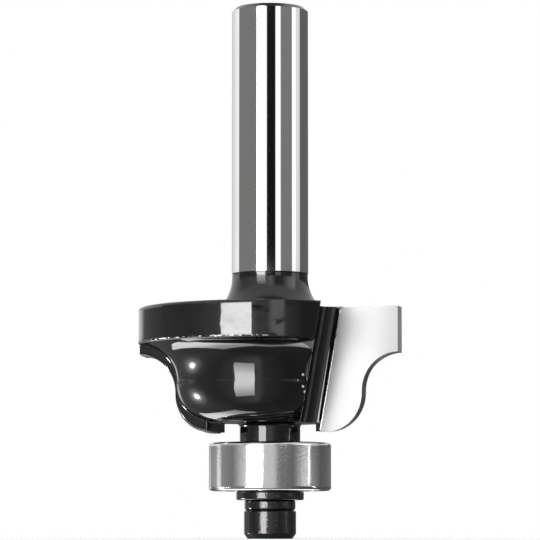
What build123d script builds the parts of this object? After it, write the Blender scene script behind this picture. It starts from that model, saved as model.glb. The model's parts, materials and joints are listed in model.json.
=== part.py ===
from build123d import *

import math
import os

# Ogee router bit with a ball-bearing pilot, standing on its screw head with the shank up.
# Millimetres. The rotation axis is Z and the screw head's socket face lies at Z = 0.
# The rake faces of the two cutters lie in the plane Y = 0: the cutter on +X looks along -Y,
# and the one on -X looks along +Y, so the bit cuts clockwise as seen from above.

# Shank and the flare that joins it to the cutter body
shank_radius = 4.0
overall_height = 55.6
shank_chamfer = 0.4
shank_relief = 0.05
shank_relief_length = 0.4
flare_radius = 4.35
flare_angle = 48.8

# Pilot stack, from the screw head up
screw_head_radius = 2.71
screw_head_height = 3.0
screw_head_bevel = 0.38
screw_head_bevel_height = 0.55
screw_head_edge = 0.2
screw_radius = 1.45
screw_length = 8.0
socket_across_flats = 2.5
socket_depth = 1.5
lock_washer_radius = 2.65
lock_washer_thickness = 1.0
lock_washer_split = 0.3
lock_washer_split_angle = 25.0
clamp_washer_radius = 3.52
clamp_washer_thickness = 0.95
washer_hole_clearance = 0.1
washer_edge = 0.22

# Ball bearing, 3/16 x 1/2 x 0.196 inch, with a crown cage and removable shields
bearing_bore_radius = 2.38125
bearing_radius = 6.35
bearing_width = 4.978
bearing_edge = 0.4
ball_radius = 1.190625
ball_count = 7
race_conformity = 1.04
race_clearance = 0.02
inner_shoulder = 0.97
outer_shoulder = 0.93
cage_thickness = 0.8
cage_shield_gap = 0.15
cage_above_centre = 0.55
cage_pocket_clearance = 0.06
shield_seat_step = 0.42
shield_seat_depth = 0.75
shield_thickness = 0.2
shield_dish = 0.35
shield_gap = 0.1
snap_ring_width = 0.42
snap_ring_thickness = 0.32
snap_ring_opening = 30.0
snap_lip = 0.08
snap_lip_height = 0.15
seat_clearance = 0.02

# Journal and neck under the cutter body
journal_clearance = 0.01
journal_shortfall = 0.1
journal_chamfer = 0.2
neck_radius = 3.15
neck_fillet = 0.5
tapped_hole_clearance = 0.05
tapped_hole_margin = 1.0
drill_point_angle = 118.0

# Ogee cut by the carbide edges: a convex arc, a short upright and a concave arc
arc_radius = 4.0
arc_upright = 0.15
cutter_gap = 1.04
cutting_height = 12.83
carbide_thickness = 2.0
carbide_side_relief = 0.35
carbide_end_relief = 0.1
carbide_tilt = 10.5
carbide_foot_width = 0.7

# Steel body: turned lobes set back from the ogee, with a land behind each carbide
body_above_carbide = 0.1
lobe_set_back = 0.62
lobe_lift = 1.0
lobe_top_round = 0.35
lobe_ledge_round = 0.25
land_set_back = 0.5
land_lift = 0.1
land_thickness = 4.3
land_root_step = 0.45
land_edge = 0.2

# Chip gullet in front of each carbide, and the relief that runs down to it
gullet_root_radius = 3.24
gullet_angle = 65.5
gullet_corner_radius = 1.5
heel_axis_distance = 3.03
heel_axis_angle = 82.2
heel_drop = 2.68
heel_start_angle = 84.5
heel_end_angle = 142.0

# Heights that follow from the stack
lock_washer_z = screw_head_height
clamp_washer_z = lock_washer_z + lock_washer_thickness
bearing_z = clamp_washer_z + clamp_washer_thickness
bearing_top_z = bearing_z + bearing_width
bearing_mid_z = bearing_z + bearing_width / 2
cutter_z = bearing_top_z + cutter_gap
carbide_top_z = cutter_z + cutting_height
body_top_z = carbide_top_z + body_above_carbide
lobe_z = cutter_z + lobe_lift
land_z = cutter_z + land_lift
flare_top_z = body_top_z + flare_radius * math.sin(math.radians(flare_angle))
relief_top_z = flare_top_z + shank_relief_length

# Radii that follow from the bearing and the ogee
cutting_radius = bearing_radius + 2 * arc_radius
lobe_radius = cutting_radius - lobe_set_back
carbide_root_radius = bearing_radius - carbide_foot_width
land_root_radius = carbide_root_radius - land_root_step
clear_radius = cutting_radius + 2.0
clear_height = 2.0

wing_angles = (0, 180)

os.makedirs("parts", exist_ok=True)


def save(builder, name):
    """Label the finished piece and write its STEP file."""
    builder.part.label = name
    export_step(builder.part, f"parts/{name}.step")


def upright_plane(angle, origin=(0, 0, 0)):
    """Plane through the origin, X pointing outwards at the angle and local Y along Z."""
    turn = math.radians(angle)
    outwards = Vector(math.cos(turn), math.sin(turn), 0)
    return Plane(origin=origin, x_dir=outwards, z_dir=outwards.cross(Vector(0, 0, 1)))


def ogee(foot):
    """Draw the ogee from its foot in the current line and return its upper end."""
    belly = JernArc(start=foot, tangent=(1, 0), radius=arc_radius, arc_size=90)
    waist = Line(belly @ 1, belly @ 1 + Vector(0, arc_upright))
    brow = JernArc(start=waist @ 1, tangent=(0, 1), radius=arc_radius, arc_size=-90)
    return brow @ 1


def ring_section(inner, outer, low, high):
    """Draw the rectangle that a ring is turned from, in the current sketch."""
    with Locations(((inner + outer) / 2, (low + high) / 2)):
        Rectangle(outer - inner, high - low)


# --- Cutter body: shank, flare, lobes, neck and journal turned from one bar ---------------

journal_radius = bearing_bore_radius - journal_clearance
journal_z = bearing_z + journal_shortfall
tapped_radius = screw_radius + tapped_hole_clearance
tapped_top_z = screw_head_height + screw_length + tapped_hole_margin
drill_point = tapped_radius / math.tan(math.radians(drill_point_angle / 2))
relief_radius = shank_radius - shank_relief
flare_foot_radius = relief_radius + flare_radius * (1 - math.cos(math.radians(flare_angle)))
lobe_foot = (bearing_radius - lobe_set_back, lobe_z)

with BuildPart() as lobe_form:
    with BuildSketch(Plane.XZ) as lobe_section:
        with BuildLine():
            ledge = ogee(lobe_foot)
            Polyline(
                ledge,
                (lobe_radius, body_top_z),
                (flare_foot_radius, body_top_z),
            )
            JernArc(
                start=(relief_radius, flare_top_z),
                tangent=(0, -1),
                radius=flare_radius,
                arc_size=flare_angle,
            )
            Polyline(
                (relief_radius, flare_top_z),
                (relief_radius, relief_top_z - shank_relief),
                (shank_radius, relief_top_z),
                (shank_radius, overall_height - shank_chamfer),
                (shank_radius - shank_chamfer, overall_height),
                (0, overall_height),
                (0, tapped_top_z + drill_point),
                (tapped_radius, tapped_top_z),
                (tapped_radius, journal_z),
                (journal_radius - journal_chamfer, journal_z),
                (journal_radius, journal_z + journal_chamfer),
                (journal_radius, bearing_top_z),
                (neck_radius, bearing_top_z),
                (neck_radius, lobe_z),
                lobe_foot,
            )
        make_face()
        corners = lobe_section.vertices()
        fillet(corners.sort_by_distance((lobe_radius, body_top_z))[0], lobe_top_round)
        corners = lobe_section.vertices()
        fillet(corners.sort_by_distance(ledge)[0], lobe_ledge_round)
        corners = lobe_section.vertices()
        fillet(corners.sort_by_distance((neck_radius, lobe_z))[0], neck_fillet)
    revolve(axis=Axis.Z)

# Land that backs each carbide: the ogee again, a little smaller, kept only behind the wing
with BuildPart() as land_form:
    with BuildSketch(Plane.XZ) as land_section:
        with BuildLine():
            land_foot = (bearing_radius - land_set_back, land_z)
            land_ledge = ogee(land_foot)
            Polyline(
                land_ledge,
                (lobe_radius, land_ledge.Y),
                (lobe_radius, body_top_z - lobe_top_round),
                (0, body_top_z - lobe_top_round),
                (0, land_z),
                land_foot,
            )
        make_face()
    revolve(axis=Axis.Z)
    with BuildSketch(Plane.XY.offset(land_z)):
        with PolarLocations(0, len(wing_angles)):
            with Locations((land_root_radius, 0)):
                Rectangle(clear_radius, land_thickness, align=(Align.MIN, Align.MIN))
    extrude(amount=body_top_z - land_z, mode=Mode.INTERSECT)
    rear_faces = land_form.faces().filter_by(Axis.Y).sort_by(lambda face: -abs(face.center().Y))[:2]
    rear_edges = rear_faces.edges()
    uprights = rear_edges.filter_by(Axis.Z).filter_by(lambda edge: edge.length < 2 * arc_upright)
    fillet(rear_edges.filter_by(GeomType.BSPLINE) + uprights, land_edge)

# Relief on the trailing end of a lobe: what lies outside the same section turned about an
# axis of its own, beside the main one
heel_axis_x = heel_axis_distance * math.cos(math.radians(heel_axis_angle))
heel_axis_y = heel_axis_distance * math.sin(math.radians(heel_axis_angle))
heel_foot = (bearing_radius - lobe_set_back - heel_drop, lobe_z)

with BuildPart() as heel_relief:
    with BuildSketch(Plane.XY.offset(lobe_z)):
        with BuildLine():
            heel_start = Vector(clear_radius, 0).rotate(Axis.Z, heel_start_angle)
            heel_end = Vector(clear_radius, 0).rotate(Axis.Z, heel_end_angle)
            Line((0, 0), heel_start)
            ThreePointArc(
                heel_start,
                Vector(clear_radius, 0).rotate(Axis.Z, (heel_start_angle + heel_end_angle) / 2),
                heel_end,
            )
            Line(heel_end, (0, 0))
        make_face()
    extrude(amount=body_top_z - lobe_z)
    with BuildSketch(upright_plane(0, (heel_axis_x, heel_axis_y, 0))):
        with BuildLine():
            heel_ledge = ogee(heel_foot)
            Polyline(
                heel_ledge,
                (heel_ledge.X, body_top_z + clear_height),
                (0, body_top_z + clear_height),
                (0, lobe_z),
                heel_foot,
            )
        make_face()
    revolve(axis=Axis((heel_axis_x, heel_axis_y, 0), (0, 0, 1)), mode=Mode.SUBTRACT)

# The gullet is milled along a line that leans outwards with the carbide
gullet_lean = math.tan(math.radians(carbide_tilt))
gullet_top_z = body_top_z + clear_height
gullet_height = gullet_top_z - cutter_z + clear_height
gullet_top_radius = gullet_root_radius + gullet_lean * (gullet_top_z - cutter_z)


def mill_gullet(angle):
    """Cut the gullet in front of the wing at the angle out of the current part."""
    flat = Plane(
        origin=(0, 0, gullet_top_z),
        x_dir=Vector(1, 0, 0).rotate(Axis.Z, angle),
        z_dir=(0, 0, 1),
    )
    reach = 2 * clear_radius
    with BuildSketch(flat) as gullet_section:
        with BuildLine():
            root = Vector(gullet_top_radius, 0)
            rake_end = root + Vector(reach, 0)
            wall_end = root + Vector(reach, 0).rotate(Axis.Z, -gullet_angle)
            Polyline(root, rake_end, wall_end, root)
        make_face()
        corner = gullet_section.vertices().sort_by_distance(root)[0]
        fillet(corner, gullet_corner_radius)
    down = flat.x_dir * -gullet_lean - flat.z_dir
    extrude(
        gullet_section.sketch,
        amount=gullet_height * down.length,
        dir=down.normalized(),
        mode=Mode.SUBTRACT,
    )


def carbide_outline(set_back, lift):
    """Draw one face of a carbide: the ogee outside, the leaning inner edge inside."""
    foot = (bearing_radius - set_back, cutter_z + lift)
    crest = ogee(foot)
    rise = carbide_top_z - cutter_z
    Polyline(
        crest,
        (crest.X, carbide_top_z),
        (carbide_root_radius + gullet_lean * rise, carbide_top_z),
        (carbide_root_radius + gullet_lean * lift, cutter_z + lift),
        foot,
    )


with BuildPart() as body:
    add(lobe_form.part)
    for wing_angle in wing_angles:
        add(heel_relief.part, rotation=(0, 0, wing_angle), mode=Mode.SUBTRACT)
    add(land_form.part)
    for wing_angle in wing_angles:
        mill_gullet(wing_angle)
        # Pocket that the carbide is brazed into, open to the gullet, the rim and both ends
        with BuildSketch(upright_plane(wing_angle)):
            with BuildLine():
                pocket_foot = carbide_root_radius - gullet_lean * clear_height
                pocket_rise = carbide_top_z - cutter_z + 2 * clear_height
                Polyline(
                    (pocket_foot, cutter_z - clear_height),
                    (clear_radius, cutter_z - clear_height),
                    (clear_radius, carbide_top_z + clear_height),
                    (pocket_foot + gullet_lean * pocket_rise, carbide_top_z + clear_height),
                    (pocket_foot, cutter_z - clear_height),
                )
            make_face()
        extrude(amount=-carbide_thickness, mode=Mode.SUBTRACT)
save(body, "cutter_body")

for number, wing_angle in enumerate(wing_angles, start=1):
    face_plane = upright_plane(wing_angle)
    with BuildPart() as carbide:
        with BuildSketch(face_plane):
            with BuildLine():
                carbide_outline(0, 0)
            make_face()
        with BuildSketch(face_plane.offset(-carbide_thickness)):
            with BuildLine():
                carbide_outline(carbide_side_relief, carbide_end_relief)
            make_face()
        loft(ruled=True)
    save(carbide, f"carbide_cutter_{number}")


# --- Ball bearing -------------------------------------------------------------------------

pitch_radius = (bearing_bore_radius + bearing_radius) / 2
race_radius = race_conformity * ball_radius
inner_race_centre = pitch_radius - ball_radius - race_clearance / 2 + race_radius
outer_race_centre = pitch_radius + ball_radius + race_clearance / 2 - race_radius
inner_land_radius = pitch_radius - inner_shoulder
outer_land_radius = pitch_radius + outer_shoulder
shield_seat_radius = outer_land_radius + shield_seat_step

with BuildPart() as inner_ring:
    with BuildSketch(Plane.XZ) as inner_section:
        ring_section(bearing_bore_radius, inner_land_radius, bearing_z, bearing_top_z)
        chamfer(inner_section.vertices().sort_by(Axis.X)[:2], journal_chamfer / 2)
        with Locations((inner_race_centre, bearing_mid_z)):
            Circle(race_radius, mode=Mode.SUBTRACT)
    revolve(axis=Axis.Z)
save(inner_ring, "bearing_inner_ring")

with BuildPart() as outer_ring:
    with BuildSketch(Plane.XZ) as outer_section:
        ring_section(outer_land_radius, bearing_radius, bearing_z, bearing_top_z)
        fillet(outer_section.vertices().sort_by(Axis.X)[-2:], bearing_edge)
        with Locations((outer_race_centre, bearing_mid_z)):
            Circle(race_radius, mode=Mode.SUBTRACT)
        for face_z, inwards in ((bearing_z, 1), (bearing_top_z, -1)):
            lip_z = face_z + inwards * snap_lip_height
            seat_z = face_z + inwards * shield_seat_depth
            lip_radius = shield_seat_radius - snap_lip
            for outer, ends in ((lip_radius, (face_z, lip_z)), (shield_seat_radius, (lip_z, seat_z))):
                with Locations(((outer_land_radius + outer) / 2, sum(ends) / 2)):
                    Rectangle(
                        outer - outer_land_radius,
                        abs(ends[1] - ends[0]),
                        mode=Mode.SUBTRACT,
                    )
    revolve(axis=Axis.Z)
save(outer_ring, "bearing_outer_ring")

for number in range(1, ball_count + 1):
    ball_angle = 360 / ball_count * (number - 1)
    with BuildPart() as ball:
        with Locations(Vector(pitch_radius, 0, bearing_mid_z).rotate(Axis.Z, ball_angle)):
            Sphere(ball_radius)
    save(ball, f"bearing_ball_{number}")

with BuildPart() as cage:
    with BuildSketch(Plane.XZ):
        ring_section(
            pitch_radius - cage_thickness / 2,
            pitch_radius + cage_thickness / 2,
            bearing_z + shield_seat_depth + cage_shield_gap,
            bearing_mid_z + cage_above_centre,
        )
    revolve(axis=Axis.Z)
    with Locations(Plane.XY.offset(bearing_mid_z)):
        with PolarLocations(pitch_radius, ball_count):
            Sphere(ball_radius + cage_pocket_clearance, mode=Mode.SUBTRACT)
save(cage, "bearing_cage")

shield_rim_radius = shield_seat_radius - seat_clearance
shield_bore_radius = inner_land_radius + shield_gap
dish_start = outer_land_radius - seat_clearance
dish_end = dish_start - shield_dish

for name, face_z, outwards in (("lower", bearing_z, -1), ("upper", bearing_top_z, 1)):
    seat_z = face_z - outwards * shield_seat_depth
    with BuildPart() as shield:
        with BuildSketch(Plane.XZ):
            with BuildLine():
                rim = seat_z + outwards * shield_thickness
                Polyline(
                    (shield_rim_radius, seat_z),
                    (shield_rim_radius, rim),
                    (dish_start, rim),
                    (dish_end, rim + outwards * shield_dish),
                    (shield_bore_radius, rim + outwards * shield_dish),
                    (shield_bore_radius, seat_z + outwards * shield_dish),
                    (dish_end, seat_z + outwards * shield_dish),
                    (dish_start, seat_z),
                    (shield_rim_radius, seat_z),
                )
            make_face()
        revolve(axis=Axis.Z)
    save(shield, f"{name}_shield")

    with BuildPart() as snap_ring:
        ring_foot = seat_z + outwards * shield_thickness
        with BuildSketch(Plane.XY.offset(ring_foot)):
            Circle(shield_rim_radius)
            Circle(shield_rim_radius - snap_ring_width, mode=Mode.SUBTRACT)
            with BuildLine():
                gap_reach = 2 * shield_rim_radius
                gap_edge = Vector(gap_reach, 0).rotate(Axis.Z, 90 - snap_ring_opening / 2)
                gap_far = Vector(gap_reach, 0).rotate(Axis.Z, 90 + snap_ring_opening / 2)
                Polyline((0, 0), gap_edge, gap_far, (0, 0))
            make_face(mode=Mode.SUBTRACT)
        extrude(amount=outwards * snap_ring_thickness)
    save(snap_ring, f"{name}_snap_ring")


# --- Washers and the screw that clamps the bearing ----------------------------------------

washer_hole_radius = screw_radius + washer_hole_clearance

with BuildPart() as clamp_washer:
    with BuildSketch(Plane.XZ) as washer_section:
        ring_section(washer_hole_radius, clamp_washer_radius, clamp_washer_z, bearing_z)
        fillet(washer_section.vertices().sort_by(Axis.X)[-2:], washer_edge)
    revolve(axis=Axis.Z)
save(clamp_washer, "clamp_washer")

with BuildPart() as lock_washer:
    with BuildSketch(Plane.XZ) as washer_section:
        ring_section(washer_hole_radius, lock_washer_radius, lock_washer_z, clamp_washer_z)
        fillet(washer_section.vertices().sort_by(Axis.X)[-2:], washer_edge)
    revolve(axis=Axis.Z)
    split_height = 2 * lock_washer_thickness
    with Locations(Plane.XZ.offset(-lock_washer_radius / 2)):
        with Locations((0, (lock_washer_z + clamp_washer_z) / 2)):
            Box(
                lock_washer_split,
                split_height,
                lock_washer_radius,
                rotation=(0, 0, lock_washer_split_angle),
                mode=Mode.SUBTRACT,
            )
save(lock_washer, "lock_washer")

socket_corner_radius = socket_across_flats / math.sqrt(3)
with BuildPart() as screw:
    with BuildSketch(Plane.XZ):
        with BuildLine():
            Polyline(
                (0, 0),
                (screw_head_radius - screw_head_bevel, 0),
                (screw_head_radius, screw_head_bevel_height),
                (screw_head_radius, screw_head_height - screw_head_edge),
                (screw_head_radius - screw_head_edge, screw_head_height),
                (screw_radius, screw_head_height),
                (screw_radius, screw_head_height + screw_length),
                (0, screw_head_height + screw_length),
                (0, 0),
            )
        make_face()
    revolve(axis=Axis.Z)
    with BuildSketch(Plane.XY):
        RegularPolygon(socket_corner_radius, 6)
    extrude(amount=socket_depth, mode=Mode.SUBTRACT)
save(screw, "cap_screw")
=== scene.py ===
import json
import math

import bmesh
import bpy
from bpy.props import FloatProperty, FloatVectorProperty, PointerProperty
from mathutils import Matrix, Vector


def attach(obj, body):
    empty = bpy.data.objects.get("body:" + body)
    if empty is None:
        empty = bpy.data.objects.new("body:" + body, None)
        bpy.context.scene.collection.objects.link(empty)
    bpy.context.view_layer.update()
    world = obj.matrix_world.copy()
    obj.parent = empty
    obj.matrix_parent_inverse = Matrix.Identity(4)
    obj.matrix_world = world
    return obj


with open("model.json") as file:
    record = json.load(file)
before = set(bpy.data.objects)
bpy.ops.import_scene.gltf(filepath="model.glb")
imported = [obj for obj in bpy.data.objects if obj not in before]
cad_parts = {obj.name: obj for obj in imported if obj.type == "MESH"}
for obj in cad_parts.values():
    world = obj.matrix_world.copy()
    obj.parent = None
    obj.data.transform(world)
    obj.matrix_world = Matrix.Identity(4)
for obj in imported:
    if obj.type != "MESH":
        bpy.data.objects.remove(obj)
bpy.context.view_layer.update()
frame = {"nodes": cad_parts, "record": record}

bl_info = {
    "name": "Ogee Router Bit",
    "version": (1, 0, 0),
    "blender": (4, 5, 0),
    "location": "View3D > Sidebar > Router Bit",
    "description": "Finishes an ogee router bit with a pilot bearing and builds its studio",
    "category": "Object",
}

MM = 0.001
NODES = frame["nodes"]
SHANK = next(mount for mount in frame["record"]["mounts"] if mount["name"] == "shank")
SHANK_FOOT = SHANK["pos_m"][2] - SHANK["dims"]["length_mm"] / 2 * MM
TIPS = ("carbide_cutter_1", "carbide_cutter_2")
EVEN = 0.001 * MM
# Beyond this distance from the axis the body has only lands in X and only lobes in Y
CLEAR_OF_NECK = 6 * MM


def tip_edge(name):
    """Lower and upper end of the inner edge of a tip's rake face."""
    points = [v.co.copy() for v in NODES[name].data.vertices if abs(v.co.y) < EVEN]
    low, high = min(p.z for p in points), max(p.z for p in points)
    return [
        min((p for p in points if abs(p.z - z) < EVEN), key=lambda p: abs(p.x))
        for z in (low, high)
    ]


def land_back():
    """Distance from the axis of the flat back of the lands."""
    flats = [
        face.center.y for face in NODES["cutter_body"].data.polygons
        if face.normal.y > 0.999 and face.center.x > CLEAR_OF_NECK and face.center.z < SHANK_FOOT
    ]
    return sum(flats) / len(flats)


LAND_BACK = land_back()
TIP_FOOT, TIP_HEAD = tip_edge(TIPS[0])
TIP_LEAN = (TIP_HEAD.x - TIP_FOOT.x) / (TIP_HEAD.z - TIP_FOOT.z)
TIP_ROOT = TIP_FOOT.x - TIP_LEAN * TIP_FOOT.z


# --- Settings -----------------------------------------------------------------------------


class FinishSettings(bpy.types.PropertyGroup):
    """Colours and surface qualities of the pieces."""

    lacquer_colour: FloatVectorProperty(
        name="Lacquer",
        description="Colour of the stoved lacquer on the cutter body",
        subtype="COLOR", size=3, min=0, max=1, default=(0.0040, 0.0040, 0.0043),
    )
    lacquer_ripple: FloatProperty(
        name="Lacquer ripple",
        description="Height of the slow waves that the lacquer dried with",
        subtype="DISTANCE", unit="LENGTH", min=0, max=0.0001, default=0.000020,
    )
    lacquer_edge: FloatProperty(
        name="Lacquer edge",
        description="Radius that the lacquer rounds the edges of the body to",
        subtype="DISTANCE", unit="LENGTH", min=0, max=0.001, default=0.00016,
    )
    # Painted highlight: width of the pale strip beside the back of a land
    highlight_width: FloatProperty(
        name="Worn width",
        description="Width of the strip beside the back of a land where the lacquer is rubbed off",
        subtype="DISTANCE", unit="LENGTH", min=0.00005, max=0.001, default=0.00040,
    )
    # Painted highlight: pale colour of the strip behind each land and of the glints along the rim
    highlight_colour: FloatVectorProperty(
        name="Worn edge",
        description="Colour of the steel where the lacquer is rubbed off",
        subtype="COLOR", size=3, min=0, max=1, default=(0.550, 0.545, 0.535),
    )
    shank_colour: FloatVectorProperty(
        name="Shank",
        description="Colour of the ground and polished shank",
        subtype="COLOR", size=3, min=0, max=1, default=(0.700, 0.692, 0.685),
    )
    # Painted shade: darker copy of the shank's colour for the chamfer at the end of the shank
    chamfer_shade_colour: FloatVectorProperty(
        name="Shank chamfer",
        description="Colour of the darker turned chamfer on the end of the shank",
        subtype="COLOR", size=3, min=0, max=1, default=(0.130, 0.128, 0.127),
    )
    carbide_colour: FloatVectorProperty(
        name="Carbide",
        description="Colour of the lapped rake faces of the tips",
        subtype="COLOR", size=3, min=0, max=1, default=(0.920, 0.920, 0.922),
    )
    flank_colour: FloatVectorProperty(
        name="Carbide flank",
        description="Colour of the ground flanks of the tips",
        subtype="COLOR", size=3, min=0, max=1, default=(0.230, 0.230, 0.232),
    )
    # Painted shade: colour that the rake face is darkened to beside the braze, next to the gullet
    # wall
    braze_shade_colour: FloatVectorProperty(
        name="Flux haze",
        description="Colour of the rake face beside the braze",
        subtype="COLOR", size=3, min=0, max=1, default=(0.450, 0.450, 0.452),
    )
    # Painted shade: width of the darkened strip beside the braze
    braze_shade_width: FloatProperty(
        name="Flux width",
        description="Width of the dulled strip beside the braze",
        subtype="DISTANCE", unit="LENGTH", min=0.0001, max=0.01, default=0.0021,
    )
    braze_colour: FloatVectorProperty(
        name="Braze",
        description="Colour of the silver braze beside the tips",
        subtype="COLOR", size=3, min=0, max=1, default=(0.600, 0.590, 0.565),
    )
    bearing_colour: FloatVectorProperty(
        name="Bearing rings",
        description="Colour of the ground bearing steel",
        subtype="COLOR", size=3, min=0, max=1, default=(0.620, 0.618, 0.612),
    )
    pressed_colour: FloatVectorProperty(
        name="Pressed steel",
        description="Colour of the shields, snap rings and cage",
        subtype="COLOR", size=3, min=0, max=1, default=(0.520, 0.515, 0.500),
    )
    fastener_colour: FloatVectorProperty(
        name="Screw and washers",
        description="Colour of the blackened screw and washers",
        subtype="COLOR", size=3, min=0, max=1, default=(0.0060, 0.0060, 0.0062),
    )


class SeamSettings(bpy.types.PropertyGroup):
    """Sizes of the braze seams."""

    bead_width: FloatProperty(
        name="Bead width",
        description="Width of the braze bead along the inner edge of a tip",
        subtype="DISTANCE", unit="LENGTH", min=0.00005, max=0.001, default=0.00022,
    )
    bead_rise: FloatProperty(
        name="Bead rise",
        description="How far the bead stands proud of the rake face",
        subtype="DISTANCE", unit="LENGTH", min=0.00001, max=0.0003, default=0.00006,
    )


class StageSettings(bpy.types.PropertyGroup):
    """Camera place and studio levels."""

    camera_distance: FloatProperty(
        name="Camera distance",
        description="Distance of the camera from the axis of the bit",
        subtype="DISTANCE", unit="LENGTH", min=0.1, max=2, default=0.3093,
    )
    camera_height: FloatProperty(
        name="Camera height",
        description="Height of the camera above the floor",
        subtype="DISTANCE", unit="LENGTH", min=0, max=1, default=0.0005,
    )
    camera_azimuth: FloatProperty(
        name="Camera azimuth",
        description="Direction of the camera round the axis",
        subtype="ANGLE", unit="ROTATION", default=math.radians(24.5),
    )
    camera_pitch: FloatProperty(
        name="Camera pitch",
        description="Angle that the camera looks up by",
        subtype="ANGLE", unit="ROTATION", default=math.radians(5.077),
    )
    focal_length: FloatProperty(
        name="Focal length",
        description="Focal length of the lens in millimetres",
        min=20, max=600, default=198.1,
    )
    room_level: FloatProperty(
        name="Room level",
        description="Radiance of the plain room, where 1 shows a colour as it is written",
        min=0, max=4, default=1.0,
    )
    softbox_level: FloatProperty(
        name="Softbox level",
        description="Radiance of the softboxes where polished surfaces mirror them",
        min=0, max=60, default=15.0,
    )
    floor_colour: FloatVectorProperty(
        name="Floor",
        description="Colour of the floor",
        subtype="COLOR", size=3, min=0, max=1, default=(0.99, 0.99, 0.99),
    )


# --- Material helpers -----------------------------------------------------------------------


def new_material(name):
    """Make an empty node material and return it with its tree and its Principled shader."""
    material = bpy.data.materials.new(name)
    material.use_nodes = True
    tree = material.node_tree
    tree.nodes.clear()
    shader = tree.nodes.new("ShaderNodeBsdfPrincipled")
    output = tree.nodes.new("ShaderNodeOutputMaterial")
    tree.links.new(shader.outputs["BSDF"], output.inputs["Surface"])
    return material, tree, shader


def feed(tree, socket, value):
    """Link a socket or set a plain value on an input."""
    if isinstance(value, bpy.types.NodeSocket):
        tree.links.new(value, socket)
    else:
        socket.default_value = value


def math_node(tree, operation, *values):
    """Add a Math node on the values and return its result."""
    node = tree.nodes.new("ShaderNodeMath")
    node.operation = operation
    for socket, value in zip(node.inputs, values):
        feed(tree, socket, value)
    return node.outputs[0]


def vector_node(tree, operation, *values):
    """Add a Vector Math node on the values and return its node."""
    node = tree.nodes.new("ShaderNodeVectorMath")
    node.operation = operation
    for socket, value in zip(node.inputs, values):
        feed(tree, socket, value)
    return node


def product(tree, first, *others):
    """Multiply the values, from the first to the last."""
    total = first
    for other in others:
        total = math_node(tree, "MULTIPLY", total, other)
    return total


def ease(tree, value, low, high, start=0.0, end=1.0):
    """Map the value smoothly from low..high to start..end."""
    node = tree.nodes.new("ShaderNodeMapRange")
    node.interpolation_type = "SMOOTHSTEP"
    for name, number in (("Value", value), ("From Min", low), ("From Max", high),
                         ("To Min", start), ("To Max", end)):
        feed(tree, node.inputs[name], number)
    return node.outputs["Result"]


def window(tree, value, limits, edge):
    """1 inside the limits, 0 outside, with soft edges."""
    low, high = limits
    rise = ease(tree, value, low - edge / 2, low + edge / 2)
    fall = ease(tree, value, high - edge / 2, high + edge / 2, 1.0, 0.0)
    return product(tree, rise, fall)


def object_coordinates(tree, scale=(1, 1, 1), turn=(0, 0, 0)):
    """Object coordinates of the piece in metres, stretched and turned."""
    source = tree.nodes.new("ShaderNodeTexCoord")
    mapping = tree.nodes.new("ShaderNodeMapping")
    tree.links.new(source.outputs["Object"], mapping.inputs["Vector"])
    mapping.inputs["Scale"].default_value = scale
    mapping.inputs["Rotation"].default_value = turn
    return mapping.outputs["Vector"]


def position(tree):
    """X, Y and Z of the place on the piece in metres."""
    node = tree.nodes.new("ShaderNodeSeparateXYZ")
    tree.links.new(object_coordinates(tree), node.inputs["Vector"])
    return [node.outputs[axis] for axis in "XYZ"]


def noise(tree, vector, scale, detail=3.0):
    """Noise of the scale in features to a metre."""
    node = tree.nodes.new("ShaderNodeTexNoise")
    tree.links.new(vector, node.inputs["Vector"])
    node.inputs["Scale"].default_value = scale
    node.inputs["Detail"].default_value = detail
    node.inputs["Roughness"].default_value = 0.5
    return node.outputs["Fac"]


def bump(tree, height, distance, normal=None):
    """Bump from the height, of the distance in metres."""
    node = tree.nodes.new("ShaderNodeBump")
    node.inputs["Strength"].default_value = 1.0
    node.inputs["Distance"].default_value = distance
    tree.links.new(height, node.inputs["Height"])
    if normal is not None:
        tree.links.new(normal, node.inputs["Normal"])
    return node.outputs["Normal"]


def soft_edges(tree, radius):
    """Normal that rounds the edges to the radius in metres."""
    node = tree.nodes.new("ShaderNodeBevel")
    node.samples = 8
    node.inputs["Radius"].default_value = radius
    return node.outputs["Normal"]


def tint(tree, factor, colour, darker=0.9, lighter=1.1):
    """The colour, varied between darker and lighter by the factor."""
    node = tree.nodes.new("ShaderNodeMix")
    node.data_type = "RGBA"
    tree.links.new(factor, node.inputs["Factor"])
    node.inputs["A"].default_value = (*[c * darker for c in colour], 1)
    node.inputs["B"].default_value = (*[min(1, c * lighter) for c in colour], 1)
    return node.outputs["Result"]


def overlay(tree, factor, under, over):
    """The colour under, covered by the colour over where the factor is 1."""
    node = tree.nodes.new("ShaderNodeMix")
    node.data_type = "RGBA"
    tree.links.new(factor, node.inputs["Factor"])
    tree.links.new(under, node.inputs["A"])
    node.inputs["B"].default_value = (*over, 1)
    return node.outputs["Result"]


# --- Materials ------------------------------------------------------------------------------

# Painted glints along the foot of the rim: half their height, and how far in they reach
GLINT_HEIGHT = 0.06 * MM
GLINT_DEPTH = 0.25 * MM
# Painted shade: distances from the axis and heights between which the rake face darkens outwards
# and downwards
SHADE_OUT = (9.5 * MM, 14.8 * MM)
SHADE_DOWN = (10.5 * MM, 21.0 * MM)
# Painted shade beside the braze: how far behind the inner edge of the rake face it starts, and how
# much its border wanders
BRAZE_SHADE_START = -0.6 * MM
BRAZE_SHADE_WANDER = 0.2 * MM


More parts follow.
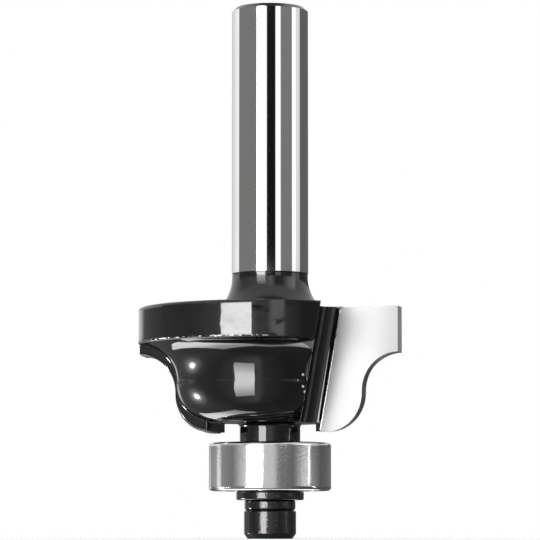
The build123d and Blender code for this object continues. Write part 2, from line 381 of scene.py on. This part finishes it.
def painted_lacquer_highlights(tree, finish, place, rim_radius, rim_foot):
    """1 where a highlight is painted: in a strip behind each land and in glints along the foot of
    the rim.
    """
    x, y, z = position(tree)
    beside = math_node(tree, "SUBTRACT", math_node(tree, "ABSOLUTE", y), LAND_BACK)
    width = finish.highlight_width
    # Painted highlight: a pale strip beside the back of each land
    strip = product(
        tree, window(tree, beside, (0.15 * width, 0.85 * width), 0.3 * width),
        math_node(tree, "GREATER_THAN", product(tree, x, y), 0.0),
        math_node(tree, "LESS_THAN", z, TIP_HEAD.z),
        ease(tree, noise(tree, place, 1600, detail=3.0), 0.3, 0.6, 0.35, 1.0),
    )
    flat = vector_node(tree, "MULTIPLY", object_coordinates(tree), (1, 1, 0)).outputs["Vector"]
    out = vector_node(tree, "LENGTH", flat).outputs["Value"]
    # Painted glints: pale spots along the foot of the rim
    edge = window(tree, z, (rim_foot - GLINT_HEIGHT, rim_foot + GLINT_HEIGHT), GLINT_HEIGHT)
    outer = math_node(tree, "GREATER_THAN", out, rim_radius - GLINT_DEPTH)
    rim_glints = ease(tree, noise(tree, place, 2600, detail=2.0), 0.46, 0.62)
    return math_node(tree, "MAXIMUM", strip, product(tree, edge, outer, rim_glints))


def lacquer_material(finish, rim_radius, rim_foot):
    """Glossy black lacquer with a slow ripple and painted highlights behind the tips and along the
    rim.
    """
    material, tree, shader = new_material("body_lacquer_finish")
    place = object_coordinates(tree)
    ripple = noise(tree, place, 360, detail=1.0)
    sag = noise(tree, place, 850, detail=1.0)
    peel = noise(tree, place, 1900, detail=2.0)
    cloud = noise(tree, place, 180, detail=4.0)
    highlit = painted_lacquer_highlights(tree, finish, place, rim_radius, rim_foot)
    black = tint(tree, cloud, finish.lacquer_colour, 0.7, 1.5)
    # Painted highlights are laid over the black as pale steel
    feed(tree, shader.inputs["Base Color"], overlay(tree, highlit, black, finish.highlight_colour))
    smooth = ease(tree, cloud, 0.3, 0.7, 0.035, 0.06)
    feed(tree, shader.inputs["Roughness"], ease(tree, highlit, 0.0, 0.6, smooth, 0.4))
    feed(tree, shader.inputs["Metallic"], highlit)
    normal = bump(tree, ripple, finish.lacquer_ripple, soft_edges(tree, finish.lacquer_edge))
    normal = bump(tree, sag, finish.lacquer_ripple * 0.35, normal)
    normal = bump(tree, peel, finish.lacquer_ripple * 0.03, normal)
    feed(tree, shader.inputs["Normal"], normal)
    shader.inputs["IOR"].default_value = 1.6
    return material


def shank_material(name, colour):
    """Ground and polished steel with fine marks round the axis."""
    material, tree, shader = new_material(name)
    marks = noise(tree, object_coordinates(tree, (40, 40, 9000)), 1.0, detail=3.0)
    haze = noise(tree, object_coordinates(tree, (90, 90, 40)), 1.0, detail=3.0)
    feed(tree, shader.inputs["Base Color"], tint(tree, haze, colour, 0.97, 1.03))
    feed(tree, shader.inputs["Roughness"], ease(tree, haze, 0.3, 0.7, 0.035, 0.055))
    feed(tree, shader.inputs["Normal"], bump(tree, marks, 0.00000006))
    shader.inputs["Metallic"].default_value = 1.0
    return material


def lapped_material(finish):
    """Lapped rake face, with painted shade along the braze and towards its outer and lower parts.
    """
    material, tree, shader = new_material("carbide_face_finish")
    lines = noise(
        tree, object_coordinates(tree, (14000, 300, 300), (0, math.radians(50), 0)), 1.0, 2.0
    )
    haze = noise(tree, object_coordinates(tree), 260, detail=3.0)
    x, _, z = position(tree)
    out = math_node(tree, "ABSOLUTE", x)
    beside = math_node(tree, "SUBTRACT", out, product(tree, z, TIP_LEAN))
    beside = math_node(tree, "SUBTRACT", beside, TIP_ROOT)
    beside = math_node(tree, "ADD", beside, product(tree, haze, BRAZE_SHADE_WANDER))
    # Painted shade: the rake face darkens beside the braze, next to the gullet wall
    shaded = ease(tree, beside, BRAZE_SHADE_START, finish.braze_shade_width)
    # Painted shade: the rake face darkens outwards and downwards
    shade = product(
        tree, ease(tree, out, *SHADE_OUT, 1.0, 0.56), ease(tree, z, *SHADE_DOWN, 0.90, 1.0)
    )
    shaded_face = vector_node(tree, "SCALE", tint(tree, haze, finish.carbide_colour, 0.98, 1.02))
    tree.links.new(shade, shaded_face.inputs["Scale"])
    mix = tree.nodes.new("ShaderNodeMix")
    mix.data_type = "RGBA"
    tree.links.new(shaded, mix.inputs["Factor"])
    mix.inputs["A"].default_value = (*finish.braze_shade_colour, 1)
    tree.links.new(shaded_face.outputs["Vector"], mix.inputs["B"])
    feed(tree, shader.inputs["Base Color"], mix.outputs["Result"])
    feed(tree, shader.inputs["Roughness"], ease(tree, haze, 0.3, 0.7, 0.45, 0.5))
    feed(tree, shader.inputs["Normal"], bump(tree, lines, 0.0000003))
    shader.inputs["Metallic"].default_value = 0.2
    return material


def ground_material(finish, name, metallic):
    """Diamond-ground flanks of the tips, with a painted reflection that brightens them where they
    face up or down.
    """
    material, tree, shader = new_material(name)
    lines = noise(tree, object_coordinates(tree, (300, 300, 12000)), 1.0, 2.0)
    haze = noise(tree, object_coordinates(tree), 400, detail=3.0)
    normal = tree.nodes.new("ShaderNodeTexCoord").outputs["Normal"]
    facing = tree.nodes.new("ShaderNodeSeparateXYZ")
    tree.links.new(normal, facing.inputs["Vector"])
    # Painted reflection: flanks that face up or down are lightened towards the rake face's colour
    painted_reflection = ease(tree, math_node(tree, "ABSOLUTE", facing.outputs["Z"]), 0.55, 0.85)
    grey = tint(tree, haze, finish.flank_colour, 0.9, 1.06)
    feed(tree, shader.inputs["Base Color"], overlay(tree, painted_reflection, grey, finish.carbide_colour))
    feed(tree, shader.inputs["Roughness"], ease(tree, haze, 0.3, 0.7, 0.16, 0.22))
    feed(tree, shader.inputs["Normal"], bump(tree, lines, 0.0000003))
    shader.inputs["Metallic"].default_value = metallic
    return material


def braze_material(finish):
    """Silver braze, wiped and slightly tarnished."""
    material, tree, shader = new_material("braze_finish")
    place = object_coordinates(tree)
    tarnish = noise(tree, place, 1400, detail=3.0)
    feed(tree, shader.inputs["Base Color"], tint(tree, tarnish, finish.braze_colour, 0.6, 1.15))
    feed(tree, shader.inputs["Roughness"], ease(tree, tarnish, 0.3, 0.7, 0.22, 0.42))
    feed(tree, shader.inputs["Normal"], bump(tree, noise(tree, place, 5000), 0.000004))
    shader.inputs["Metallic"].default_value = 1.0
    return material


def ring_material(finish):
    """Bearing steel, ground round the axis to a satin."""
    material, tree, shader = new_material("bearing_ring_finish")
    streaks = noise(tree, object_coordinates(tree, (900, 900, 12000)), 1.0, detail=4.0)
    mottle = noise(tree, object_coordinates(tree, (6000, 6000, 3500)), 1.0, detail=3.0)
    feed(tree, shader.inputs["Base Color"], tint(tree, mottle, finish.bearing_colour, 0.92, 1.08))
    feed(tree, shader.inputs["Roughness"], ease(tree, mottle, 0.3, 0.7, 0.05, 0.09))
    normal = bump(tree, streaks, 0.0000007)
    feed(tree, shader.inputs["Normal"], bump(tree, mottle, 0.0000060, normal))
    shader.inputs["Metallic"].default_value = 1.0
    return material


def ball_material(finish):
    """Mirror-polished bearing balls."""
    material, tree, shader = new_material("bearing_ball_finish")
    haze = noise(tree, object_coordinates(tree), 900, detail=2.0)
    feed(tree, shader.inputs["Base Color"], tint(tree, haze, finish.bearing_colour, 1.0, 1.12))
    feed(tree, shader.inputs["Roughness"], ease(tree, haze, 0.3, 0.7, 0.03, 0.06))
    shader.inputs["Metallic"].default_value = 1.0
    return material


def pressed_material(finish):
    """Thin pressed steel with a dull rolled surface."""
    material, tree, shader = new_material("pressed_steel_finish")
    grain = noise(tree, object_coordinates(tree, (9000, 900, 9000)), 1.0, detail=3.0)
    haze = noise(tree, object_coordinates(tree), 700, detail=3.0)
    feed(tree, shader.inputs["Base Color"], tint(tree, haze, finish.pressed_colour, 0.85, 1.1))
    feed(tree, shader.inputs["Roughness"], ease(tree, haze, 0.3, 0.7, 0.26, 0.36))
    feed(tree, shader.inputs["Normal"], bump(tree, grain, 0.0000008))
    shader.inputs["Metallic"].default_value = 1.0
    return material


def fastener_material(finish):
    """Blackened and oiled steel, a little pitted."""
    material, tree, shader = new_material("fastener_finish")
    place = object_coordinates(tree)
    pits = noise(tree, place, 5200, detail=2.0)
    waves = noise(tree, place, 2600, detail=1.0)
    feed(tree, shader.inputs["Base Color"], tint(tree, pits, finish.fastener_colour, 0.7, 1.6))
    feed(tree, shader.inputs["Roughness"], ease(tree, pits, 0.3, 0.7, 0.07, 0.14))
    normal = bump(tree, waves, 0.000014, soft_edges(tree, 0.00008))
    feed(tree, shader.inputs["Normal"], bump(tree, pits, 0.0000120, normal))
    shader.inputs["IOR"].default_value = 1.6
    return material


def dress(name, *materials):
    """Put the materials in the slots of a CAD node, the first on every face."""
    node = NODES[name]
    node.data.materials.clear()
    for material in materials:
        node.data.materials.append(material)
    return node


# --- Operators for the pieces -----------------------------------------------------------------


class ROUTERBIT_OT_finish_body(bpy.types.Operator):
    """Lacquer the cutter body and polish its shank."""

    bl_idname = "router_bit.finish_body"
    bl_label = "Finish Cutter Body"

    def execute(self, context):
        finish = context.scene.router_bit_finish
        points = [v.co for v in NODES["cutter_body"].data.vertices]
        lobes = [p for p in points if abs(p.y) > CLEAR_OF_NECK]
        rim_radius = max(p.xy.length for p in lobes)
        rim_foot = min(p.z for p in lobes if p.xy.length > rim_radius - 0.02 * MM)
        body = dress(
            "cutter_body", lacquer_material(finish, rim_radius, rim_foot),
            shank_material("shank_finish", finish.shank_colour),
            shank_material("shank_chamfer_shade_finish", finish.chamfer_shade_colour),
        )
        top = max(p.z for p in points)
        for face in body.data.polygons:
            face.material_index = int(face.center.z > SHANK_FOOT)
            # Painted shade: the sloping chamfer at the end of the shank takes the darker copy of
            # the shank's finish
            sloping = 0.1 < face.normal.z < 0.99
            if sloping and face.center.z > top - MM:
                face.material_index = 2
        return {"FINISHED"}


class ROUTERBIT_OT_finish_carbides(bpy.types.Operator):
    """Lap the rake faces of the two carbide tips and grind the rest."""

    bl_idname = "router_bit.finish_carbides"
    bl_label = "Finish Carbide Tips"

    def execute(self, context):
        finish = context.scene.router_bit_finish
        flank = ground_material(finish, "carbide_flank_finish", 1.0)
        face_finish = lapped_material(finish)
        # Painted light: the outermost strip of each tip gets a non-metal copy of the flank finish,
        # which shows paler
        rim = ground_material(finish, "carbide_rim_lit_finish", 0.0)
        for name in TIPS:
            tip = dress(name, flank, face_finish, rim)
            reach = max(abs(v.co.x) for v in tip.data.vertices)
            for face in tip.data.polygons:
                if abs(face.center.y) < EVEN and abs(face.normal.y) > 0.9:
                    face.material_index = 1
                elif abs(face.normal.z) < 0.01 and abs(face.center.x) > reach - 0.5 * MM:
                    face.material_index = 2
        return {"FINISHED"}


class ROUTERBIT_OT_finish_bearing(bpy.types.Operator):
    """Grind the rings, polish the balls and dull the pressed pieces of the bearing."""

    bl_idname = "router_bit.finish_bearing"
    bl_label = "Finish Bearing"

    def execute(self, context):
        finish = context.scene.router_bit_finish
        ring, ball, pressed = ring_material(finish), ball_material(finish), pressed_material(finish)
        for name in sorted(NODES):
            if name.startswith("bearing_ball"):
                dress(name, ball)
            elif name.endswith(("shield", "snap_ring", "cage")):
                dress(name, pressed)
            elif name.startswith("bearing"):
                dress(name, ring)
        return {"FINISHED"}


class ROUTERBIT_OT_finish_fasteners(bpy.types.Operator):
    """Blacken the screw and its washers."""

    bl_idname = "router_bit.finish_fasteners"
    bl_label = "Finish Screw and Washers"

    def execute(self, context):
        black = fastener_material(context.scene.router_bit_finish)
        for name in ("cap_screw", "lock_washer", "clamp_washer"):
            dress(name, black)
        return {"FINISHED"}


class ROUTERBIT_OT_lay_braze(bpy.types.Operator):
    """Lay the braze bead along the inner edge of each tip."""

    bl_idname = "router_bit.lay_braze"
    bl_label = "Lay Braze Seams"

    def execute(self, context):
        seams = context.scene.router_bit_seams
        braze = braze_material(context.scene.router_bit_finish)
        for number, name in enumerate(TIPS, start=1):
            foot, head = tip_edge(name)
            run = head - foot
            form = bmesh.new()
            bmesh.ops.create_cone(
                form, segments=16, radius1=seams.bead_width / 2, radius2=seams.bead_width / 2,
                depth=run.length - 2 * seams.bead_width, cap_ends=True, cap_tris=False,
            )
            rims = [e for e in form.edges if abs(e.verts[0].co.z - e.verts[1].co.z) < EVEN]
            bmesh.ops.bevel(
                form, geom=rims, offset=seams.bead_width / 4, affect="EDGES", segments=3,
                profile=0.5, material=-1,
            )
            bmesh.ops.subdivide_edges(
                form, cuts=11,
                edges=[e for e in form.edges if abs(e.verts[0].co.z - e.verts[1].co.z) > MM],
            )
            for vert in form.verts:
                swell = 1 + 0.16 * math.sin(vert.co.z / MM * 2.1 + number)
                vert.co.x *= swell
                vert.co.y *= swell * 2 * seams.bead_rise / seams.bead_width
            bmesh.ops.rotate(
                form, verts=form.verts, cent=(0, 0, 0),
                matrix=Vector((0, 0, 1)).rotation_difference(run).to_matrix(),
            )
            bmesh.ops.translate(form, verts=form.verts, vec=(foot + head) / 2)
            mesh = bpy.data.meshes.new(f"braze_seam_{number}")
            form.to_mesh(mesh)
            form.free()
            mesh.shade_smooth()
            mesh.materials.append(braze)
            bead = bpy.data.objects.new(f"braze_seam_{number}", mesh)
            context.scene.collection.objects.link(bead)
            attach(bead, "cutter")
        return {"FINISHED"}


# --- Stage ------------------------------------------------------------------------------------

# The studio round the bit at five heights. Each ring is a dim wall with a few panels in front of
# it, given by their edges: azimuth in degrees to the right of the camera, and level.
# What the polished shank mirrors: four white strips, with a black flag between the middle two
HIGH_RING = (
    (-180, 0.5), (-110, 1.3), (-106, 0.25), (-41, 0.25), (-39, 1.6), (-11, 1.6), (-9, 0.01),
    (15.5, 0.01), (17.5, 1.5), (31, 1.5), (33, 0.25), (69, 0.25), (71.5, 1.6), (82, 1.6),
    (87, 1.0), (100, 1.0), (104, 0.15), (180, 0.15),
)
# What the bearing mirrors at the horizon: a narrow strip on each side and a wide panel
LEVEL_RING = (
    (-180, 0.25), (-122, 0.5), (-115, 1.5), (-110, 1.5), (-104, 0.4), (-74, 0.25), (-45, 1.3),
    (-17, 1.3), (-13, 0.8), (8, 0.8), (16, 0.2), (45, 0.2), (69, 1.4), (78, 1.4), (85, 0.5),
    (110, 0.15), (180, 0.25),
)
# What the rim of the lobes mirrors: the back wall, a panel and a strip
RIM_RING = (
    (-180, 1.1), (-152, 1.1), (-142, 0.3), (-75, 0.3), (-48, 0.6), (-17, 1.6), (-4, 1.6),
    (4, 0.6), (14, 0.6), (20, 1.6), (30, 1.6), (34, 0.5), (54, 0.15), (165, 0.15), (173, 1.1),
    (180, 1.1),
)
# What faces that look down mirror: one broad glow in front
LOW_RING = (
    (-180, 0.1), (-110, 0.35), (-70, 0.25), (-14, 0.85), (6, 0.8), (20, 0.3), (60, 0.12),
    (180, 0.12),
)
# What the flare under the shank mirrors: a soft panel in front and a strip at the right
UPPER_RING = (
    (-180, 0.85), (-125, 1.0), (-90, 0.5), (-15, 1.0), (4, 1.6), (17, 0.3), (40, 0.3),
    (60, 1.6), (80, 2.2), (90, 0.8), (180, 0.8),
)
ROOM_ABOVE = 0.95
CEILING = 0.22
TABLE_BELOW = 0.17
# From the table up: the elevations in degrees between which each ring or level takes over
STOREYS = (
    (-75, -50, LOW_RING),
    (-0.1, 0.4, LEVEL_RING),
    (1.62, 1.9, LOW_RING),
    (3.2, 3.7, RIM_RING),
    (4.6, 5.0, HIGH_RING),
    (10.6, 14, UPPER_RING),
    (26, 42, ROOM_ABOVE),
    (58, 76, CEILING),
)

# Softbox to the left of the camera. Its sides are planes through the bit, each given by what a
# direction's parts to the right, to the camera and up are multiplied by.
SOFTBOX_LEFT = (0.730, 0.683, -0.150)
SOFTBOX_SHANK_LEFT = (0.771, 0.637, 0.0)
SOFTBOX_RIGHT = (-1.0, -0.277, 0.062)
SOFTBOX_RISE = (-0.66, 0.50)
SOFTBOX_EDGE = 0.015
# Elevations in degrees at which the left side is the one for the shank
SHANK_ELEVATIONS = (4.8, 10.5)
# Share of the softbox level by the elevation in degrees
SOFTBOX_FADE = (
    (-90, 0.2), (-38, 0.3), (-8, 0.7), (3.0, 0.7), (3.7, 1.0), (4.6, 1.0), (9, 0.6), (13, 0.35),
    (30, 0.1),
)
# Lamps: azimuth, elevation and radius in degrees, share of the softbox level
LAMPS = (
    (-158.0, -4.0, 9.0, 0.075),
    (-112.5, -22.0, 26.0, 0.035),
    (-112.5, -22.0, 17.0, 0.10),
    (-112.5, -22.0, 9.0, 0.40),
    (-112.5, -22.0, 4.0, 12.0),
    (98.0, -17.0, 3.5, 0.6),
    (90.5, -7.5, 3.0, 0.6),
    (79.0, 1.6, 0.8, 1.0),
    (171.0, -33.0, 5.0, 0.27),
)
# White sheet on the table below the bit and the part of it that the bit hides. The sides are
# lines in the tangents to the right and to the camera of the directions below the horizon.
SHEET_SIDES = (
    (1.0, -0.27, 0.376),
    (0.0, -1.0, -0.22),
    (-1.1, -1.0, -0.05),
    (0.35, 1.0, 2.1),
    (-1.0, 0.0, 0.66),
)
HIDDEN_SIDES = (
    (1.0, 0.0, 0.36),
    (2.6, -1.0, -0.5),
    (-1.8, -1.0, -0.5),
)
# Share of the softbox level near the bit, farther out, far away and to the right
SHEET_LEVELS = (0.19, 0.32, 0.62, 0.60)
SHEET_EDGE = 0.05


def angle_ramp(tree, angle, stops):
    """Level by the angle in degrees, from -180 to 180."""
    node = tree.nodes.new("ShaderNodeValToRGB")
    turn = math_node(tree, "DIVIDE", math_node(tree, "ADD", angle, 180.0), 360.0)
    tree.links.new(turn, node.inputs["Fac"])
    ramp = node.color_ramp
    while len(ramp.elements) > 1:
        ramp.elements.remove(ramp.elements[-1])
    for number, (degrees, level) in enumerate(stops):
        place = (degrees + 180) / 360
        if number:
            element = ramp.elements.new(place)
        else:
            element = ramp.elements[0]
            element.position = place
        element.color = (level, level, level, 1)
    return node.outputs["Color"]


def beyond(tree, parts, weights, start, edge):
    """1 where the weighted sum of the parts and the start is above zero, with a soft edge."""
    total = start
    for part, weight in zip(parts, weights):
        total = math_node(tree, "ADD", product(tree, part, weight), total)
    return ease(tree, total, -edge / 2, edge / 2)


def direction_to(azimuth, elevation, towards, right):
    """Unit vector at an azimuth to the right of the camera and an elevation, in degrees."""
    a, e = math.radians(azimuth), math.radians(elevation)
    level = towards * math.cos(a) + right * math.sin(a)
    return level * math.cos(e) + Vector((0, 0, math.sin(e)))


def studio_level(tree, stage):
    """Radiance of the studio in every direction, as polished surfaces mirror it."""
    towards = Vector((math.sin(stage.camera_azimuth), -math.cos(stage.camera_azimuth), 0))
    right = Vector((-towards.y, towards.x, 0))
    view = tree.nodes.new("ShaderNodeTexCoord").outputs["Generated"]
    view = vector_node(tree, "NORMALIZE", view).outputs["Vector"]
    ahead = vector_node(tree, "DOT_PRODUCT", view, tuple(towards)).outputs["Value"]
    aside = vector_node(tree, "DOT_PRODUCT", view, tuple(right)).outputs["Value"]
    rise = vector_node(tree, "DOT_PRODUCT", view, (0, 0, 1)).outputs["Value"]
    azimuth = math_node(tree, "DEGREES", math_node(tree, "ARCTAN2", aside, ahead))
    elevation = math_node(tree, "DEGREES", math_node(tree, "ARCSINE", rise))

    def blend(low, high, factor):
        node = tree.nodes.new("ShaderNodeMix")
        node.data_type = "FLOAT"
        feed(tree, node.inputs["Factor"], factor)
        feed(tree, node.inputs["A"], low)
        feed(tree, node.inputs["B"], high)
        return node.outputs["Result"]

    level = TABLE_BELOW
    for start, end, source in STOREYS:
        if isinstance(source, tuple):
            source = angle_ramp(tree, azimuth, source)
        level = blend(level, source, ease(tree, elevation, start, end))
    parts = (aside, ahead, rise)
    side = beyond(tree, parts, SOFTBOX_SHANK_LEFT, 0.0, SOFTBOX_EDGE)
    cut = math_node(tree, "SUBTRACT", 1.0, window(tree, elevation, SHANK_ELEVATIONS, 0.3))
    mask = product(
        tree, beyond(tree, parts, SOFTBOX_LEFT, 0.0, SOFTBOX_EDGE),
        beyond(tree, parts, SOFTBOX_RIGHT, 0.0, SOFTBOX_EDGE),
        window(tree, rise, SOFTBOX_RISE, 0.02), math_node(tree, "MAXIMUM", side, cut),
    )
    fade = angle_ramp(tree, elevation, SOFTBOX_FADE)
    level = blend(level, product(tree, fade, stage.softbox_level), mask)
    for lamp_azimuth, lamp_elevation, radius, share in LAMPS:
        aim = direction_to(lamp_azimuth, lamp_elevation, towards, right)
        facing = vector_node(tree, "DOT_PRODUCT", view, tuple(aim)).outputs["Value"]
        rim, core = math.cos(math.radians(radius)), math.cos(math.radians(radius / 4))
        level = blend(level, stage.softbox_level * share, ease(tree, facing, rim, core))
    below = math_node(tree, "MAXIMUM", product(tree, rise, -1.0), 0.02)
    slopes = [math_node(tree, "DIVIDE", part, below) for part in (aside, ahead)]
    to_right, to_camera = slopes

    def inside(sides, first):
        for across, along, start in sides:
            side = beyond(tree, slopes, (across, along), start, SHEET_EDGE)
            first = product(tree, first, side)
        return first

    mask = inside(SHEET_SIDES, ease(tree, rise, -0.35, -0.2, 1.0, 0.0))
    hidden = inside(HIDDEN_SIDES, 1.0)
    mask = product(tree, mask, math_node(tree, "SUBTRACT", 1.0, hidden))
    near, middle, far, right_share = SHEET_LEVELS
    full = stage.softbox_level
    sheet = product(
        tree, ease(tree, to_camera, -0.3, -0.8, full * near, full * middle),
        ease(tree, to_camera, -0.8, -1.7, 1.0, far),
        ease(tree, to_right, -0.2, 0.2, 1.0, right_share),
    )
    return blend(level, sheet, mask)


def make_world(stage):
    """White room for the camera, plain level for dull surfaces, studio for polished ones."""
    world = bpy.data.worlds.new("studio")
    world.use_nodes = True
    world.cycles.sampling_method = "NONE"
    tree = world.node_tree
    tree.nodes.clear()
    room = tree.nodes.new("ShaderNodeBackground")
    room.inputs["Color"].default_value = (1, 1, 1, 1)
    room.inputs["Strength"].default_value = stage.room_level
    studio = tree.nodes.new("ShaderNodeBackground")
    studio.inputs["Color"].default_value = (1, 1, 1, 1)
    tree.links.new(studio_level(tree, stage), studio.inputs["Strength"])
    rays = tree.nodes.new("ShaderNodeLightPath")
    mix = tree.nodes.new("ShaderNodeMixShader")
    tree.links.new(rays.outputs["Is Glossy Ray"], mix.inputs["Fac"])
    tree.links.new(room.outputs[0], mix.inputs[1])
    tree.links.new(studio.outputs[0], mix.inputs[2])
    output = tree.nodes.new("ShaderNodeOutputWorld")
    tree.links.new(mix.outputs[0], output.inputs["Surface"])
    bpy.context.scene.world = world


def make_floor(stage):
    """Pale floor, seen from above only."""
    form = bmesh.new()
    bmesh.ops.create_grid(form, x_segments=1, y_segments=1, size=3.0)
    mesh = bpy.data.meshes.new("floor")
    form.to_mesh(mesh)
    form.free()
    floor = bpy.data.objects.new("floor", mesh)
    bpy.context.scene.collection.objects.link(floor)
    material, tree, shader = new_material("floor_paint")
    grain = noise(tree, object_coordinates(tree), 40, detail=3.0)
    feed(tree, shader.inputs["Base Color"], tint(tree, grain, stage.floor_colour, 1.0, 1.03))
    shader.inputs["Roughness"].default_value = 1.0
    shader.inputs["Specular IOR Level"].default_value = 0.0
    side = tree.nodes.new("ShaderNodeNewGeometry")
    clear = tree.nodes.new("ShaderNodeBsdfTransparent")
    mix = tree.nodes.new("ShaderNodeMixShader")
    tree.links.new(side.outputs["Backfacing"], mix.inputs["Fac"])
    tree.links.new(shader.outputs["BSDF"], mix.inputs[1])
    tree.links.new(clear.outputs["BSDF"], mix.inputs[2])
    output = next(n for n in tree.nodes if n.type == "OUTPUT_MATERIAL")
    tree.links.new(mix.outputs[0], output.inputs["Surface"])
    mesh.materials.append(material)
    floor.visible_glossy = False


def make_camera(stage):
    """Camera that looks slightly up from floor level."""
    data = bpy.data.cameras.new("camera")
    data.lens = stage.focal_length
    data.sensor_width = 36.0
    data.clip_start = 0.01
    data.clip_end = 20.0
    camera = bpy.data.objects.new("camera", data)
    bpy.context.scene.collection.objects.link(camera)
    turn = stage.camera_azimuth
    camera.location = (
        stage.camera_distance * math.sin(turn),
        -stage.camera_distance * math.cos(turn),
        stage.camera_height,
    )
    camera.rotation_euler = (math.pi / 2 + stage.camera_pitch, 0, turn)
    bpy.context.scene.camera = camera


class ROUTERBIT_OT_build_stage(bpy.types.Operator):
    """Set up the camera, the floor and the studio."""

    bl_idname = "router_bit.build_stage"
    bl_label = "Build Stage"

    def execute(self, context):
        stage = context.scene.router_bit_stage
        make_camera(stage)
        make_floor(stage)
        make_world(stage)
        context.scene.view_settings.view_transform = "Standard"
        return {"FINISHED"}


# --- Panel and registration ---------------------------------------------------------------------

OPERATORS = (
    ROUTERBIT_OT_build_stage,
    ROUTERBIT_OT_finish_body,
    ROUTERBIT_OT_finish_carbides,
    ROUTERBIT_OT_finish_bearing,
    ROUTERBIT_OT_finish_fasteners,
    ROUTERBIT_OT_lay_braze,
)


class ROUTERBIT_PT_panel(bpy.types.Panel):
    """Sidebar panel with the settings and the operators."""

    bl_label = "Router Bit"
    bl_idname = "ROUTERBIT_PT_panel"
    bl_space_type = "VIEW_3D"
    bl_region_type = "UI"
    bl_category = "Router Bit"

    def draw(self, context):
        for group in SETTINGS:
            column = self.layout.column()
            for name in SETTINGS[group].__annotations__:
                column.prop(getattr(context.scene, group), name)
        for operator in OPERATORS:
            self.layout.operator(operator.bl_idname)


SETTINGS = {
    "router_bit_finish": FinishSettings,
    "router_bit_seams": SeamSettings,
    "router_bit_stage": StageSettings,
}
CLASSES = (*SETTINGS.values(), *OPERATORS, ROUTERBIT_PT_panel)


def register():
    for item in CLASSES:
        bpy.utils.register_class(item)
    for name, group in SETTINGS.items():
        setattr(bpy.types.Scene, name, PointerProperty(type=group))


def unregister():
    for name in SETTINGS:
        delattr(bpy.types.Scene, name)
    for item in reversed(CLASSES):
        bpy.utils.unregister_class(item)


def main():
    register()
    for operator in OPERATORS:
        group, name = operator.bl_idname.split(".")
        getattr(getattr(bpy.ops, group), name)()


if __name__ == "__main__":
    main()
